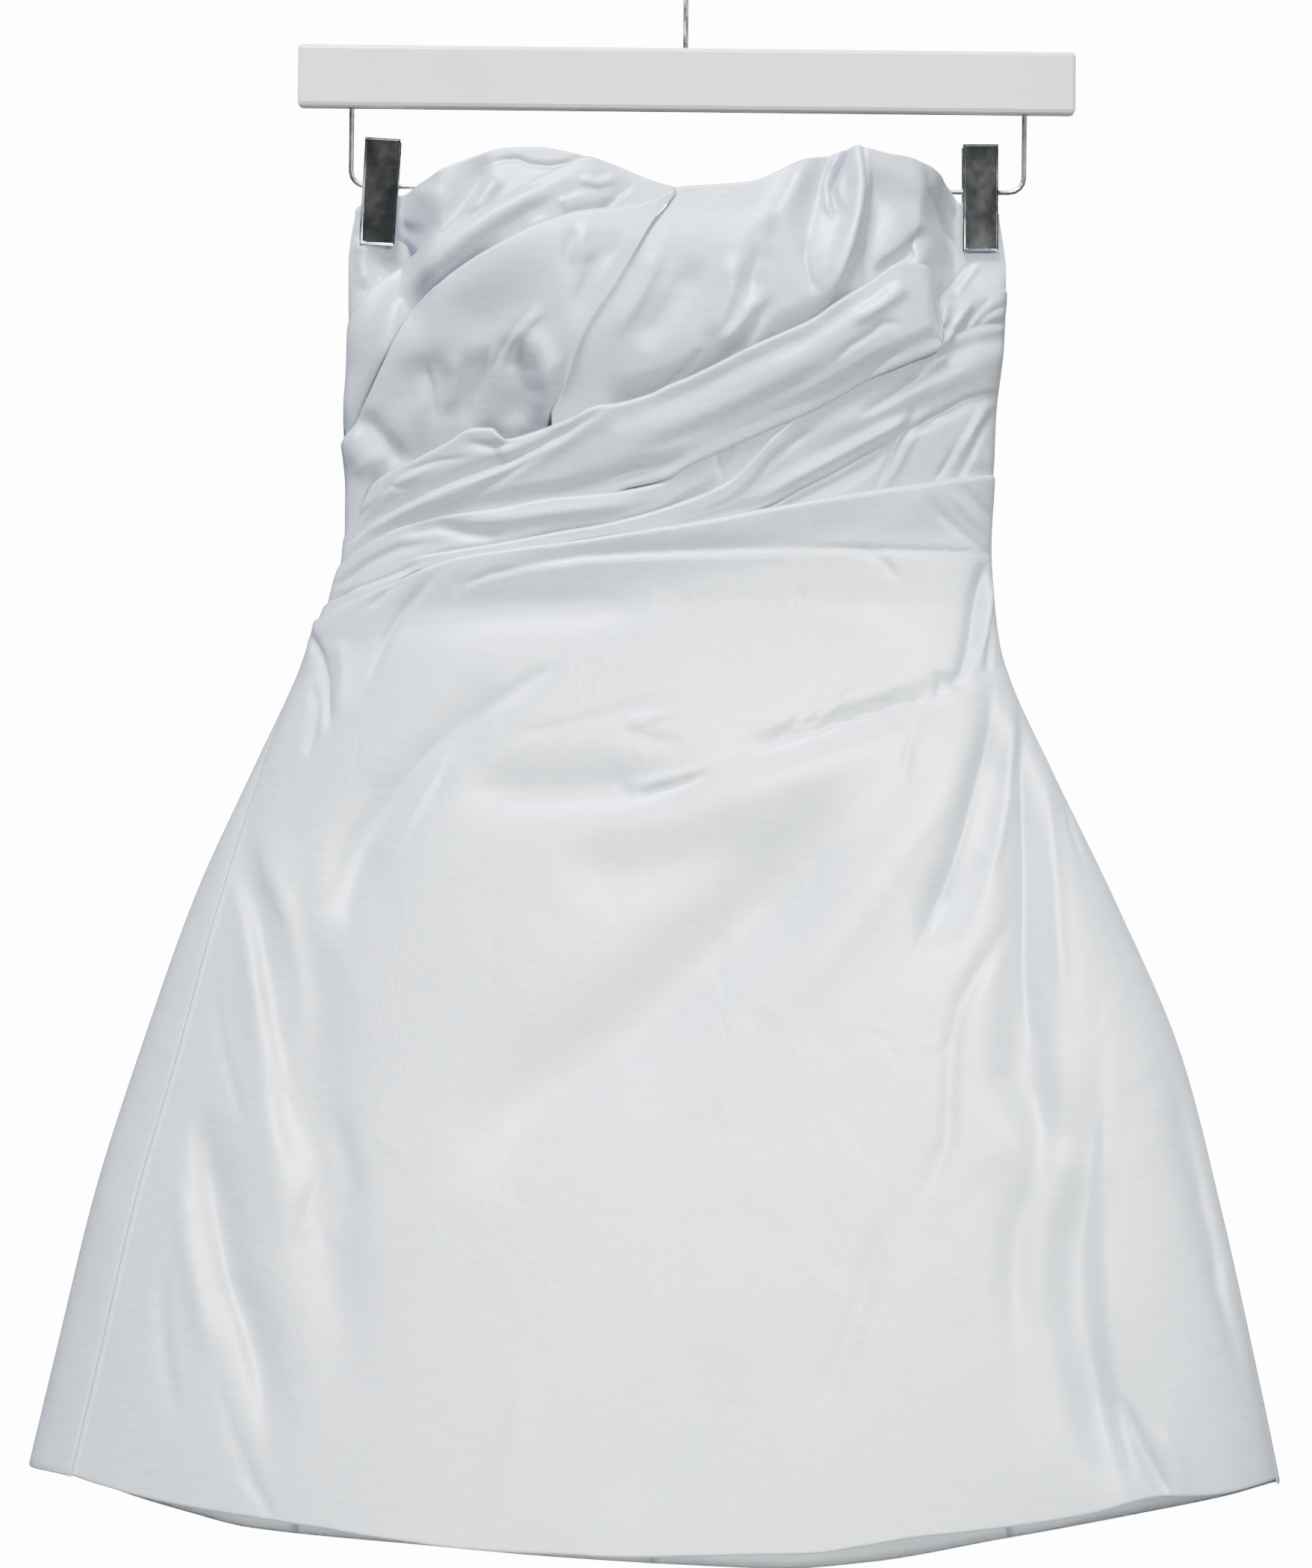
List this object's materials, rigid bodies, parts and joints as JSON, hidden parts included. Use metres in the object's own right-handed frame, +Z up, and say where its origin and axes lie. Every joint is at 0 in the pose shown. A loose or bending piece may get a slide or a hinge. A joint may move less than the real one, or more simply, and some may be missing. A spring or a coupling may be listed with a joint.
{
  "type": "strapless mini dress on a clip hanger",
  "caption": "Strapless sweetheart mini dress in pale satin, draped and sashed across the bust over a flared skirt, clipped to a bar hanger.",
  "frame": {"origin": "inside top of the hook, where it rests on its rail", "axes": "+Z up, the front of the dress faces -Y, +X to the right as seen from the front"},
  "size_m": [0.6713, 0.1024, 0.8858],
  "materials": {
    "satin": "pale ice-blue satin with a fine crosswise slub and a soft sheen",
    "painted_wood": "off-white painted wood, satin",
    "chrome_wire": "polished",
    "clip_chrome": "polished"
  },
  "bodies": {
    "root": {"left_cup": "satin", "bust_pleat": "satin", "left_swath": "satin", "right_cup": "satin", "sash": "satin", "waist_band": "satin", "side_wrap": "satin", "skirt_front": "satin", "back_side_right": "satin", "back_centre_right": "satin", "back_centre_left": "satin", "back_side_left": "satin", "hanger_bar": "painted_wood", "hanger_hook": "chrome_wire", "clip_rod": "chrome_wire", "left_clip_front": "clip_chrome", "left_clip_back": "clip_chrome", "left_clip_barrel": "clip_chrome", "right_clip_front": "clip_chrome", "right_clip_back": "clip_chrome", "right_clip_barrel": "clip_chrome"}
  },
  "joints": []
}
